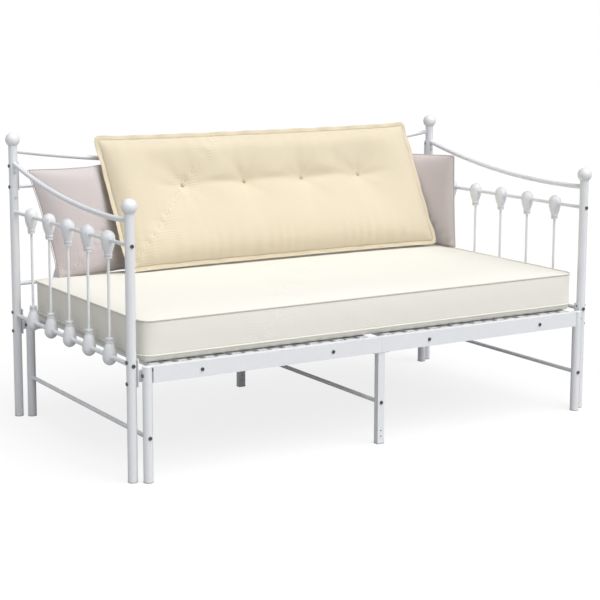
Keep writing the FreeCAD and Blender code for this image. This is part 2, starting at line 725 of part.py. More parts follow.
pull_slats = []
pads = []
for k in range(1, slats_each_side + 1):
    for x in (-k * slat_pitch, k * slat_pitch):
        pull_slats.append(slat(x, shelf_y, crossbar_y1, pull_slat_bottom, pull_slat_height))
        pads.append(box(
            x - slat_width / 2, x + slat_width / 2, crossbar_y0, crossbar_y1, crossbar_top, pull_slat_bottom,
        ))
save("pullout_slats", *pull_slats)
save("pullout_slat_pads", *pads)

# rubber stops on the crossbar meet the main front rail when the frame is pulled right out
rail_back = front_row + main_rail_width / 2
bumper_length = crossbar_y0 - travel - rail_back - bumper_slack
bumpers = []
for x in (-bumper_spacing / 2, bumper_spacing / 2):
    root = vec(x, crossbar_y0, crossbar_middle)
    bumpers.append(rod(bumper_radius, root, root - vec(0, bumper_length, 0)))
save("pullout_stop_bumpers", *bumpers)

# ---- Mattress: a rounded block on the slats ----
mattress_y0 = front_row - mattress_overhang
mattress = box(
    -mattress_length / 2, mattress_length / 2, mattress_y0, mattress_y0 + mattress_width,
    mattress_bottom, mattress_top,
)
mattress = mattress.makeFillet(mattress_corner, [e for e in mattress.Edges if e.BoundBox.ZLength > 1])
mattress = mattress.makeChamfer(mattress_edge, [
    e for e in mattress.Edges
    if e.BoundBox.ZLength < 1 and (e.BoundBox.ZMin > mattress_top - 1 or e.BoundBox.ZMax < mattress_bottom + 1)
])
save("mattress", mattress)


def slanted_prism(points, rise):
    """Flat outline at the mattress's top, carried up along a leaning direction."""
    corners = [vec(x, y, mattress_top) for x, y in points]
    return Part.Face(Part.makePolygon(corners + corners[:1])).extrude(rise)


# ---- Back cushion: one long pad that leans from the mattress to the top rail ----
foot_y = rear_row - cushion_foot
half_thick = cushion_thickness / 2
cushion_rise = vec(-cushion_skew, cushion_foot - cushion_head, cushion_rise_height)
save("back_cushion", slanted_prism([
    (cushion_left, foot_y),
    (cushion_left + soft_taper, foot_y - half_thick),
    (cushion_right - soft_taper, foot_y - half_thick),
    (cushion_right, foot_y),
    (cushion_right - soft_taper, foot_y + half_thick),
    (cushion_left + soft_taper, foot_y + half_thick),
], cushion_rise))
outward = vec(0, -cushion_rise.z, cushion_rise.y)
outward.normalize()
buttons = []
for i in range(button_count):
    low = vec(cushion_left + button_first + i * button_pitch, foot_y - half_thick, mattress_top)
    place = low + cushion_rise * button_level
    button = rod(button_radius, place, place + outward * button_thickness)
    rim = [e for e in button.Edges if (e.CenterOfMass - place).Length > button_thickness / 2]
    rim = [e for e in rim if e.Curve.TypeId == "Part::GeomCircle"]
    buttons.append(button.makeFillet(button_thickness * 0.4, rim))
save("back_cushion_buttons", *buttons)

# ---- Throw pillows: one at each end, tucked behind the cushion ----
pillow_front = rear_row - left_pillow_front
pillow_back = pillow_front + pillow_thickness
left_middle = (pillow_front + pillow_back) / 2
tail_front = pillow_back - left_pillow_tail
shoulder = cushion_left - left_pillow_shoulder
save("pillow_left", slanted_prism([
    (left_pillow_left, left_middle - pillow_tip),
    (left_pillow_left + soft_taper, pillow_front),
    (shoulder, pillow_front),
    (shoulder + left_pillow_neck, tail_front),
    (left_pillow_right, tail_front),
    (left_pillow_right, pillow_back),
    (left_pillow_left + soft_taper, pillow_back),
    (left_pillow_left, left_middle + pillow_tip),
], vec(-left_pillow_skew, 0, left_pillow_height)))

corner_x = half_span - right_pillow_gap
save("pillow_right", slanted_prism([
    (corner_x - 8, rear_row - 268),
    (corner_x + 6, rear_row - 264),
    (corner_x - 8, rear_row - 125),
    (corner_x - 50, rear_row - 70),
    (corner_x - 100, rear_row - 42),
    (corner_x - 155, rear_row - 38),
    (corner_x - 155, rear_row - 52),
    (corner_x - 104, rear_row - 70),
    (corner_x - 78, rear_row - 145),
    (corner_x - 52, rear_row - 200),
], vec(-4, right_pillow_lean, right_pillow_height)))
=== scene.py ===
import math
import bpy
import numpy as np
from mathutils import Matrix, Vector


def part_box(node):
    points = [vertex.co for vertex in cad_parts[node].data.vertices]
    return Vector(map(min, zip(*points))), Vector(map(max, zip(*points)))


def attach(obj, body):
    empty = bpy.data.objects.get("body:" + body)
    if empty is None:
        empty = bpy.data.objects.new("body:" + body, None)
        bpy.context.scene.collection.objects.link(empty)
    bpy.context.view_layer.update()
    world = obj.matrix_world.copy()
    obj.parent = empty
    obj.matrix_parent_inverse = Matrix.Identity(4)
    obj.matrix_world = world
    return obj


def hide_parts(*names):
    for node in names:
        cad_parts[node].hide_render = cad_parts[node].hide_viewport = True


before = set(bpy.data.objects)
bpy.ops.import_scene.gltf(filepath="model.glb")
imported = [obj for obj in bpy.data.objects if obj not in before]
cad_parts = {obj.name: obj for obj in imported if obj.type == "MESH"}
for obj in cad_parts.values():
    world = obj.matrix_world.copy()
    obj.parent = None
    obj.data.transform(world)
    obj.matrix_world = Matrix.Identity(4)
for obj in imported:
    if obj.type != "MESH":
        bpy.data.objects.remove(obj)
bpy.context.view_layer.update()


# ---- Posts, arms, back and deck rails ----
# Steel tubes and folded rails, welded or bolted together and sprayed white with powder paint.
# The skin has a fine orange peel, drifts slightly in tone, and picks up scuffs close to the floor.
def put(tree, kind, feeds=None, **fields):
    """Add one shader node, set its fields, and give each named or numbered input a value or a link."""
    made = tree.nodes.new(kind)
    for field, value in fields.items():
        setattr(made, field, value)
    for socket, value in (feeds or {}).items():
        if isinstance(value, bpy.types.NodeSocket):
            tree.links.new(value, made.inputs[socket])
        else:
            made.inputs[socket].default_value = value
    return made


def calc(tree, operation, *values):
    """One sum on the surface, such as ADD or MULTIPLY."""
    return put(tree, "ShaderNodeMath", dict(enumerate(values)), operation=operation).outputs[0]


def spread(tree, value, low, high, to_low, to_high):
    """Value carried from the range low to high onto the range to_low to to_high, and held at its ends."""
    feeds = {"Value": value, "From Min": low, "From Max": high, "To Min": to_low, "To Max": to_high}
    return put(tree, "ShaderNodeMapRange", feeds).outputs["Result"]


def tint(tree, mask, first, second):
    """Colour that goes from first to second as the mask goes from 0 to 1."""
    return put(tree, "ShaderNodeMix", {0: mask, 6: first, 7: second}, data_type="RGBA").outputs[2]


def stretch(tree, vector, scale):
    """Coordinates multiplied by a scale along each axis."""
    return put(tree, "ShaderNodeVectorMath", {0: vector, 1: scale}, operation="MULTIPLY").outputs[0]


def grain(tree, vector, scale, detail=2.0, rough=0.5):
    """Smooth noise from 0 to 1, with that many grains to the metre."""
    feeds = {"Vector": vector, "Scale": scale, "Detail": detail, "Roughness": rough}
    return put(tree, "ShaderNodeTexNoise", feeds).outputs["Fac"]


def new_group(name, takes, gives):
    """An empty node group with named inputs and outputs."""
    group = bpy.data.node_groups.new(name, "ShaderNodeTree")
    for label, kind in takes:
        group.interface.new_socket(name=label, in_out="INPUT", socket_type=kind)
    for label, kind in gives:
        group.interface.new_socket(name=label, in_out="OUTPUT", socket_type=kind)
    return group, group.nodes.new("NodeGroupInput").outputs, group.nodes.new("NodeGroupOutput").inputs


def new_finish(name, roughness, metallic=0.0, coat=0.0, sheen=0.0, specular=0.5):
    """A material with one Principled shader. Its steady values are set on the shader itself."""
    material = bpy.data.materials.new(name)
    material.use_nodes = True
    tree = material.node_tree
    shader = next(n for n in tree.nodes if n.type == "BSDF_PRINCIPLED")
    shader.inputs["Roughness"].default_value = roughness
    shader.inputs["Metallic"].default_value = metallic
    shader.inputs["Coat Weight"].default_value = coat
    shader.inputs["Coat Roughness"].default_value = 0.22
    shader.inputs["Sheen Weight"].default_value = sheen
    shader.inputs["Sheen Roughness"].default_value = 0.5
    shader.inputs["Specular IOR Level"].default_value = specular
    return material, tree, shader


def raise_skin(tree, shader, height, depth, strength=1.0):
    """Bump the surface by a height from 0 to 1, depth metres tall."""
    feeds = {"Height": height, "Distance": depth, "Strength": strength}
    bump = put(tree, "ShaderNodeBump", feeds)
    tree.links.new(bump.outputs["Normal"], shader.inputs["Normal"])


def sprayed_skin():
    """Group for powder paint: orange-peel height, slow tone drift, and scuffs that fade out with height."""
    takes = [("Vector", "NodeSocketVector"), ("Peel", "NodeSocketFloat")]
    gives = [("Height", "NodeSocketFloat"), ("Drift", "NodeSocketFloat"), ("Scuff", "NodeSocketFloat")]
    group, given, wanted = new_group("sprayed_skin", takes, gives)
    peel = put(group, "ShaderNodeTexNoise", {
        "Vector": given["Vector"], "Scale": given["Peel"], "Detail": 2.0, "Roughness": 0.45,
    }).outputs["Fac"]
    speck = grain(group, given["Vector"], 1900.0, 1.0)
    height = calc(group, "ADD", peel, calc(group, "MULTIPLY", speck, 0.25))
    drift = grain(group, given["Vector"], 5.0, 3.0)
    split = put(group, "ShaderNodeSeparateXYZ", {0: given["Vector"]})
    low_down = spread(group, split.outputs["Z"], 0.004, 0.16, 1.0, 0.0)
    scratch = grain(group, stretch(group, given["Vector"], (1.0, 1.0, 0.22)), 230.0, 5.0, 0.7)
    scuff = calc(group, "MULTIPLY", spread(group, scratch, 0.58, 0.72, 0.0, 1.0), low_down)
    group.links.new(height, wanted["Height"])
    group.links.new(drift, wanted["Drift"])
    group.links.new(scuff, wanted["Scuff"])
    return group


def white_paint(name, peel, depth, roughness):
    """White powder paint with that many grains to the metre and that much relief."""
    material, tree, shader = new_finish(name, roughness, coat=0.25)
    place = put(tree, "ShaderNodeTexCoord").outputs["Object"]
    skin = put(tree, "ShaderNodeGroup", node_tree=powder)
    tree.links.new(place, skin.inputs["Vector"])
    skin.inputs["Peel"].default_value = peel
    plain = tint(tree, skin.outputs["Drift"], (0.735, 0.75, 0.775, 1.0), (0.80, 0.81, 0.825, 1.0))
    colour = tint(tree, calc(tree, "MULTIPLY", skin.outputs["Scuff"], 0.35), plain, (0.42, 0.41, 0.40, 1.0))
    tree.links.new(colour, shader.inputs["Base Color"])
    dull = calc(tree, "MULTIPLY", skin.outputs["Scuff"], 0.25)
    uneven = spread(tree, skin.outputs["Drift"], 0.3, 0.7, roughness - 0.05, roughness + 0.06)
    tree.links.new(calc(tree, "ADD", uneven, dull), shader.inputs["Roughness"])
    raise_skin(tree, shader, skin.outputs["Height"], depth)
    return material


def dress(names, material):
    """Give frame parts one finish."""
    for name in names:
        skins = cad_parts[name].data.materials
        skins.clear()
        skins.append(material)


powder = sprayed_skin()
frame_paint = white_paint("frame_paint", peel=620.0, depth=0.00022, roughness=0.36)
sides = ("front_left", "front_right", "rear_left", "rear_right")
dress(["post_" + side for side in sides], frame_paint)
for side in ("left", "right"):
    dress([side + "_arm_" + rail for rail in ("top_rail", "middle_rail", "lower_rail")], frame_paint)
dress(["back_top_rail", "back_middle_rail", "back_lower_rail"], frame_paint)
dress(["main_front_rail", "main_rear_rail"], frame_paint)
dress(["left_arm_spindles", "right_arm_spindles", "back_spindles", "main_slats", "finials"], frame_paint)
dress(["back_end_plates", "rail_end_plates"], frame_paint)


# ---- Castings on the arms and the back ----
# Zinc knuckles poured in a mould and clamped on the rails, sprayed with the same powder.
# The cast metal is rougher, so its paint has a coarser, deeper skin than the tubes have.
cast_paint = white_paint("cast_paint", peel=240.0, depth=0.0005, roughness=0.42)
for level in ("upper", "lower"):
    dress([place + "_" + level + "_castings" for place in ("left_arm", "right_arm", "back")], cast_paint)


# ---- Bolts and screws ----
# Socket-head bolts with a black oxide skin. The rims are rubbed back to dark steel by the key.
# The rail's screws and the hole plugs are painted or moulded to go with the frame.
def black_steel():
    """Black oxide on steel, worn in small patches."""
    material, tree, shader = new_finish("black_hardware", 0.42, metallic=0.55)
    place = put(tree, "ShaderNodeTexCoord").outputs["Object"]
    rub = spread(tree, grain(tree, place, 420.0, 4.0, 0.65), 0.52, 0.7, 0.0, 1.0)
    colour = tint(tree, rub, (0.11, 0.112, 0.118, 1.0), (0.30, 0.30, 0.31, 1.0))
    tree.links.new(colour, shader.inputs["Base Color"])
    tree.links.new(spread(tree, rub, 0.0, 1.0, 0.5, 0.28), shader.inputs["Roughness"])
    raise_skin(tree, shader, grain(tree, place, 1500.0, 2.0), 0.00012)
    return material


def bare_steel():
    """Zinc-plated steel with the fine lines of drawing and rolling."""
    material, tree, shader = new_finish("plain_steel", 0.35, metallic=1.0)
    place = put(tree, "ShaderNodeTexCoord").outputs["Object"]
    lines = grain(tree, stretch(tree, place, (0.05, 1.0, 1.0)), 900.0, 3.0)
    colour = tint(tree, lines, (0.46, 0.47, 0.48, 1.0), (0.68, 0.68, 0.67, 1.0))
    tree.links.new(colour, shader.inputs["Base Color"])
    tree.links.new(spread(tree, lines, 0.3, 0.7, 0.28, 0.46), shader.inputs["Roughness"])
    raise_skin(tree, shader, lines, 0.00008)
    return material


dress(["main_bolts", "pullout_bolts"], black_steel())
dress(["arm_rail_inserts", "tie_rod_inserts"], bare_steel())
dress(["pullout_rail_screws"], frame_paint)


# ---- Feet, caps and pads ----
# Injection-moulded plastic pushed into the tubes' ends. The undersides are grazed by the floor.
# The slat pads and the stops on the crossbar are softer and darker.
def moulded(name, clean, dirty, roughness, spark):
    """Moulded plastic or rubber: a fine spark texture, with dirt rubbed in close to the floor."""
    material, tree, shader = new_finish(name, roughness)
    place = put(tree, "ShaderNodeTexCoord").outputs["Object"]
    height = put(tree, "ShaderNodeSeparateXYZ", {0: place}).outputs["Z"]
    low_down = spread(tree, height, 0.0, 0.006, 1.0, 0.15)
    dirt = calc(tree, "MULTIPLY", grain(tree, place, 160.0, 4.0, 0.6), low_down)
    tree.links.new(tint(tree, dirt, clean, dirty), shader.inputs["Base Color"])
    tree.links.new(spread(tree, dirt, 0.0, 0.6, roughness, roughness + 0.2), shader.inputs["Roughness"])
    raise_skin(tree, shader, grain(tree, place, spark, 2.0), 0.00015)
    return material


foot_plastic = moulded(
    "foot_plastic", clean=(0.60, 0.61, 0.62, 1.0), dirty=(0.20, 0.19, 0.18, 1.0),
    roughness=0.5, spark=1600.0)
dress(["main_feet", "pullout_feet", "pullout_leg_caps", "post_hole_plugs"], foot_plastic)
bumper_rubber = moulded(
    "bumper_rubber", clean=(0.03, 0.03, 0.032, 1.0), dirty=(0.10, 0.09, 0.08, 1.0),
    roughness=0.65, spark=900.0)
dress(["pullout_stop_bumpers", "pullout_slat_pads"], bumper_rubber)


# ---- Pull-out frame ----
# Four round legs and two square ones under a folded front rail, with tie rods and sliding slats.
# The same white powder, with grey rub lines along the slats where they slide past the deck.
def sliding_paint():
    """White powder rubbed in lines that run front to back."""
    material = white_paint("pullout_paint", peel=620.0, depth=0.00022, roughness=0.38)
    tree = material.node_tree
    shader = next(n for n in tree.nodes if n.type == "BSDF_PRINCIPLED")
    under = shader.inputs["Base Color"].links[0].from_socket
    place = put(tree, "ShaderNodeTexCoord").outputs["Object"]
    lines = grain(tree, stretch(tree, place, (1.0, 0.03, 1.0)), 320.0, 4.0, 0.7)
    rub = spread(tree, lines, 0.56, 0.74, 0.0, 0.4)
    tree.links.new(tint(tree, rub, under, (0.50, 0.50, 0.50, 1.0)), shader.inputs["Base Color"])
    return material


corners = ("front_left", "front_right", "rear_left", "rear_right", "middle_front", "middle_rear")
dress(["pullout_leg_" + corner for corner in corners], frame_paint)
dress(["pullout_front_rail_left", "pullout_front_rail_right"], frame_paint)
dress(["pullout_crossbar", "pullout_end_blocks"], frame_paint)
dress(["tie_rods_side", "tie_rod_middle", "pullout_rail_joiner", "pullout_slat_shelf"], frame_paint)
dress(["pullout_slats"], sliding_paint())


# ---- Mattress ----
# A foam core in a thin ivory cover: a top and a bottom panel sewn to one side band,
# with a corded seam all round the top and the bottom. It lies loose on the slats.
def woven_cloth():
    """Group for plain weave. Each thread is the rounded top of a sine, and warp and weft take turns
    in a checkerboard, on coordinates that wander by a slow noise as uneven threads do. Slubs are noise
    drawn out along each thread direction."""
    takes = [("Vector", "NodeSocketVector"), ("Threads", "NodeSocketFloat"), ("Slub", "NodeSocketFloat")]
    gives = [(label, "NodeSocketFloat") for label in ("Height", "Weave", "Tone", "Cloud")]
    group, given, wanted = new_group("woven_cloth", takes, gives)
    wander = put(group, "ShaderNodeTexNoise", {"Vector": given["Vector"], "Scale": 60.0, "Detail": 2.0})
    drawn = stretch(group, wander.outputs["Color"], (0.007, 0.007, 0.02))
    far_off = put(group, "ShaderNodeVectorMath", {0: given["Vector"], 1: (5.3, 1.7, 0.9)}, operation="ADD")
    uneven = put(group, "ShaderNodeVectorMath", {0: far_off.outputs[0], 1: drawn}, operation="ADD").outputs[0]
    split = put(group, "ShaderNodeSeparateXYZ", {0: uneven})
    turns = calc(group, "MULTIPLY", given["Threads"], math.pi)
    warp = calc(group, "SINE", calc(group, "MULTIPLY", split.outputs["X"], turns))
    weft = calc(group, "SINE", calc(group, "MULTIPLY", split.outputs["Y"], turns))
    turn = spread(group, calc(group, "MULTIPLY", warp, weft), -0.5, 0.5, 0.0, 1.0)
    over = calc(group, "MULTIPLY", calc(group, "ABSOLUTE", warp), turn)
    under = calc(group, "MULTIPLY", calc(group, "ABSOLUTE", weft), calc(group, "SUBTRACT", 1.0, turn))
    along = grain(group, stretch(group, uneven, (0.035, 1.0, 1.0)), 520.0, 2.0)
    across = grain(group, stretch(group, uneven, (1.0, 0.035, 1.0)), 520.0, 2.0)
    wide = grain(group, stretch(group, uneven, (0.09, 1.0, 1.0)), 120.0, 2.0)
    tall = grain(group, stretch(group, uneven, (1.0, 0.09, 1.0)), 120.0, 2.0)
    fine = calc(group, "MULTIPLY", calc(group, "ADD", along, across), 0.14)
    broad = calc(group, "MULTIPLY", calc(group, "ADD", wide, tall), 0.36)
    streak = calc(group, "ADD", fine, broad)
    slub = calc(group, "MULTIPLY", spread(group, streak, 0.4, 0.62, 0.0, 1.0), given["Slub"])
    threads = calc(group, "ADD", over, under)
    group.links.new(calc(group, "ADD", calc(group, "MULTIPLY", threads, 0.06), slub), wanted["Height"])
    group.links.new(threads, wanted["Weave"])
    group.links.new(streak, wanted["Tone"])
    group.links.new(grain(group, given["Vector"], 7.0, 3.0), wanted["Cloud"])
    return group


def cloth_finish(name, dark, light, threads, slub, depth, sheen):
    """Woven cloth whose pattern follows the piece's own map, laid out in metres, with painted shade in the
    hollows between its threads.
    """
    material, tree, shader = new_finish(name, 0.85, sheen=sheen, specular=0.2)
    layout = put(tree, "ShaderNodeUVMap", uv_map="cloth").outputs["UV"]
    cloth = put(tree, "ShaderNodeGroup", node_tree=weave)
    tree.links.new(layout, cloth.inputs["Vector"])
    cloth.inputs["Threads"].default_value = threads
    cloth.inputs["Slub"].default_value = slub
    tone = spread(tree, cloth.outputs["Tone"], 0.38, 0.58, 0.0, 1.0)
    drift = spread(tree, cloth.outputs["Cloud"], 0.3, 0.7, -0.12, 0.12)
    # Painted shade of the weave: the raised thread tops are painted lighter and the hollows between threads
    # painted darker.
    painted_thread_shade = spread(tree, cloth.outputs["Weave"], 0.0, 1.0, -0.18, 0.18)
    mask = calc(tree, "ADD", calc(tree, "ADD", tone, drift), painted_thread_shade)
    tree.links.new(tint(tree, mask, dark, light), shader.inputs["Base Color"])
    tree.links.new(spread(tree, cloth.outputs["Height"], 0.0, 1.2, 0.92, 0.78), shader.inputs["Roughness"])
    raise_skin(tree, shader, cloth.outputs["Height"], depth)
    return material


def quads(index):
    """The four corners of each face of a grid. The grid holds point numbers, or places on the cloth."""
    corners = np.stack([index[:-1, :-1], index[1:, :-1], index[1:, 1:], index[:-1, 1:]], -1)
    return corners.reshape(-1, 4, *index.shape[2:])


def make_piece(name, points, faces, layout, material, smooth=1):
    """A mesh piece at the origin with its place in its points, its cloth map, and one subdivision."""
    mesh = bpy.data.meshes.new(name)
    mesh.vertices.add(len(points))
    mesh.vertices.foreach_set("co", np.asarray(points, np.float32).ravel())
    mesh.loops.add(faces.size)
    mesh.loops.foreach_set("vertex_index", np.asarray(faces, np.int32).ravel())
    mesh.polygons.add(len(faces))
    mesh.polygons.foreach_set("loop_start", np.arange(len(faces), dtype=np.int32) * 4)
    mesh.update(calc_edges=True)
    mesh.validate()
    mesh.polygons.foreach_set("use_smooth", np.ones(len(faces), bool))
    mesh.uv_layers.new(name="cloth").data.foreach_set("uv", np.asarray(layout, np.float32).ravel())
    mesh.materials.append(material)
    piece = bpy.data.objects.new(name, mesh)
    bpy.context.scene.collection.objects.link(piece)
    if smooth:
        finer = piece.modifiers.new("smooth", "SUBSURF")
        finer.levels = smooth
        finer.render_levels = smooth
    return piece


def calm(points, faces, held, rounds):
    """Each point moved to the mean of the faces round it, that many times over. Held points stay."""
    for turn in range(rounds):
        middles = points[faces].mean(1)
        total = np.zeros_like(points)
        count = np.zeros((len(points), 1))
        for corner in range(4):
            np.add.at(total, faces[:, corner], middles)
            np.add.at(count, faces[:, corner], 1)
        total /= count
        total[held] = points[held]
        points = total
    return points


def blow_up(points, faces, held, pressure, frames):
    """A sewn cloth shell pushed out from inside, with no weight and with some points held still.
    Returns the points after that many frames of cloth simulation, with the finest ripples calmed."""
    mesh = bpy.data.meshes.new("shell")
    mesh.from_pydata(points.tolist(), [], faces.tolist())
    shell = bpy.data.objects.new("shell", mesh)
    scene = bpy.context.scene
    scene.collection.objects.link(shell)
    cloth = shell.modifiers.new("cloth", "CLOTH")
    cloth.settings.quality = 5
    cloth.settings.mass = 0.3
    cloth.settings.tension_stiffness = 15.0
    cloth.settings.compression_stiffness = 15.0
    cloth.settings.shear_stiffness = 5.0
    cloth.settings.bending_stiffness = 0.4
    cloth.settings.use_pressure = True
    cloth.settings.uniform_pressure_force = pressure
    cloth.settings.effector_weights.gravity = 0.0
    grip = shell.vertex_groups.new(name="held")
    grip.add([int(i) for i in held], 1.0, "REPLACE")
    cloth.settings.vertex_group_mass = "held"
    cloth.point_cache.frame_start = 1
    cloth.point_cache.frame_end = frames
    for step in range(1, frames + 1):
        scene.frame_set(step)
    moved = shell.evaluated_get(bpy.context.evaluated_depsgraph_get()).data
    out = np.zeros(len(points) * 3)
    moved.vertices.foreach_get("co", out)
    bpy.data.objects.remove(shell)
    bpy.data.meshes.remove(mesh)
    scene.frame_set(1)
    return calm(out.reshape(-1, 3), faces, held, rounds=4)


def carry(profile, path, up):
    """A closed outline carried round a closed path. Each point is the path's point, plus the outline's
    first number along the outward side, plus its second along the up direction."""
    ahead = np.roll(path, -1, 0) - np.roll(path, 1, 0)
    ahead /= np.linalg.norm(ahead, axis=1, keepdims=True)
    side = np.cross(ahead, up)
    side /= np.linalg.norm(side, axis=1, keepdims=True)
    rise = np.cross(side, ahead)
    grid = path[:, None] + profile[None, :, :1] * side[:, None] + profile[None, :, 1:] * rise[:, None]
    return grid


def ring_piece(name, grid, material, smooth=1):
    """A piece from a grid that closes on itself both ways, mapped by its own lengths in metres."""
    n, m = grid.shape[:2]
    index = np.arange(n * m).reshape(n, m)
    index = np.pad(index, ((0, 1), (0, 1)), mode="wrap")
    run = np.linalg.norm(np.roll(grid[:, 0], -1, 0) - grid[:, 0], axis=1)
    wrap = np.linalg.norm(np.roll(grid[0], -1, 0) - grid[0], axis=1)
    u, v = np.meshgrid(np.append(0.0, np.cumsum(run)), np.append(0.0, np.cumsum(wrap)), indexing="ij")
    layout = quads(np.stack([u, v], -1))
    return make_piece(name, grid.reshape(-1, 3), quads(index), layout, material, smooth)


def circle(radius, count):
    """Points round a circle, turning from the outward side up and over."""
    turn = np.arange(count) / count * 2 * math.pi
    return radius * np.stack([np.cos(turn), np.sin(turn)], -1)


def mattress_shell(low, high, corner, seam, columns, rows, bands):
    """Cover of a mattress. Top and bottom are grids squeezed into a rectangle with round corners: past
    the corner's centre, a point's offset keeps its larger part as its distance. Grid lines crowd to the
    edges as a share plus a sine. The band joins the two edges, seam metres from the top and bottom."""
    half = (high[:2] - low[:2]) / 2
    centre = (high[:2] + low[:2]) / 2
    a, b = (np.linspace(-1, 1, count + 1) for count in (columns, rows))
    a, b = (line + 0.6 * np.sin(math.pi * line) / math.pi for line in (a, b))
    a, b = np.meshgrid(a, b, indexing="ij")
    flat = np.stack([a * half[0], b * half[1]], -1)
    core = np.clip(flat, -(half - corner), half - corner)
    off = flat - core
    reach = np.abs(off).max(-1, keepdims=True)
    length = np.linalg.norm(off, axis=-1, keepdims=True)
    flat = core + off * reach / np.maximum(length, 1e-9)
    index = np.arange(a.size).reshape(a.shape)
    loop = np.concatenate([index[:-1, 0], index[-1, :-1], index[:0:-1, -1], index[0, :0:-1]])
    spots = flat.reshape(-1, 2) + centre
    top = np.column_stack([spots, np.full(a.size, high[2] - seam[1])])
    bottom = np.column_stack([spots, np.full(a.size, low[2] + seam[0])])
    share = np.linspace(0, 1, bands + 1)
    edge = spots[loop]
    level = low[2] + seam[0] + share * (high[2] - low[2] - seam[0] - seam[1])
    band = np.stack([
        np.repeat(edge[:, :1], bands + 1, 1), np.repeat(edge[:, 1:], bands + 1, 1),
        np.repeat(level[None], len(loop), 0),
    ], -1)
    band_index = np.zeros((len(loop), bands + 1), int)
    band_index[:, 0] = loop + a.size
    band_index[:, -1] = loop
    band_index[:, 1:-1] = 2 * a.size + np.arange(len(loop) * (bands - 1)).reshape(len(loop), -1)
    points = np.concatenate([top, bottom, band[:, 1:-1].reshape(-1, 3)])
    closed = np.pad(band_index, ((0, 1), (0, 0)), mode="wrap")
    faces = np.concatenate([quads(index), quads(index + a.size)[:, ::-1], quads(closed)])
    run = np.append(0.0, np.cumsum(np.linalg.norm(np.roll(edge, -1, 0) - edge, axis=1)))
    u, v = np.meshgrid(run, level, indexing="ij")
    panel = quads(flat)
    layout = np.concatenate([panel, panel[:, ::-1], quads(np.stack([u, v], -1))])
    return points, faces, layout, loop, loop + a.size


def limit(moves, most):
    """Moves kept in their direction and rounded off so that none is longer than most."""
    length = np.linalg.norm(moves, axis=1, keepdims=True)
    return moves * np.tanh(length / most) * most / np.maximum(length, 1e-9)


weave = woven_cloth()
mattress_cover = cloth_finish(
    "mattress_cover", dark=(0.705, 0.685, 0.62, 1.0), light=(0.815, 0.80, 0.735, 1.0),
    threads=900.0, slub=0.35, depth=0.00008, sheen=0.15)
cord_cover = cloth_finish(
    "mattress_cord", dark=(0.60, 0.58, 0.51, 1.0), light=(0.76, 0.74, 0.67, 1.0),
    threads=1100.0, slub=0.2, depth=0.0003, sheen=0.1)
bed_low, bed_high = (np.array(corner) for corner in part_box("mattress"))
cover_slack = np.array([0.016, 0.016, 0.0])
seam_drop = (0.028, 0.018)
corner_radius = 0.05
most_swell = 0.0172
top_dip = 0.0012
underside_curve = 0.010
cord_radius = 0.0036
shell_low = bed_low + cover_slack
shell_high = bed_high - cover_slack
points, faces, layout, top_seam, bottom_seam = mattress_shell(
    shell_low, shell_high, corner_radius, seam_drop, columns=100, rows=50, bands=9)
sewn = np.concatenate([top_seam, bottom_seam])
swollen = blow_up(points, faces, sewn, pressure=3.0, frames=14)
moves = limit(swollen - points, most_swell)
free = np.ones(len(points), bool)
free[sewn] = False
hair = 1e-6
on_top = free & (points[:, 2] > bed_high[2] - seam_drop[1] - hair)
under = free & (points[:, 2] < bed_low[2] + seam_drop[0] + hair)
bent = np.sin(points[:, 0] * 9.0 + 1.7 * np.sin(points[:, 1] * 6.0))
ease = 0.0018 * bent * np.sin(points[:, 1] * 8.0 + 0.6)
moves[:, 2] += np.where(on_top, ease - top_dip, 0.0)
inward = np.minimum(points[:, :2] - shell_low[:2], shell_high[:2] - points[:, :2]).min(1)
moves[:, 2] = np.where(under, -seam_drop[0] * (1 - np.exp(-inward / underside_curve)), moves[:, 2])
band = free & ~on_top & ~under
share = (points[:, 2] - bed_low[2] - seam_drop[0]) / (bed_high[2] - bed_low[2] - sum(seam_drop))
run = points[:, 0] + points[:, 1]
crease = 0.0022 * np.sin(46 * run + 3 * np.sin(7 * run) + 4 * share) + 0.0012 * np.sin(91 * run - 9 * share)
puff = 0.98 + (crease / most_swell) * np.sin(math.pi * np.clip(share, 0, 1))
moves[:, :2] *= np.where(band, puff, 1.0)[:, None]
points = points + moves
mattress = make_piece("mattress_pad", points, faces, layout, mattress_cover)
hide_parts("mattress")
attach(mattress, "bed_frame")
skyward = np.array([0.0, 0.0, 1.0])
for name, seam in (("mattress_cord_top", top_seam), ("mattress_cord_bottom", bottom_seam)):
    cord = ring_piece(name, carry(circle(cord_radius, count=8), points[seam], skyward), cord_cover)
    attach(cord, "bed_frame")


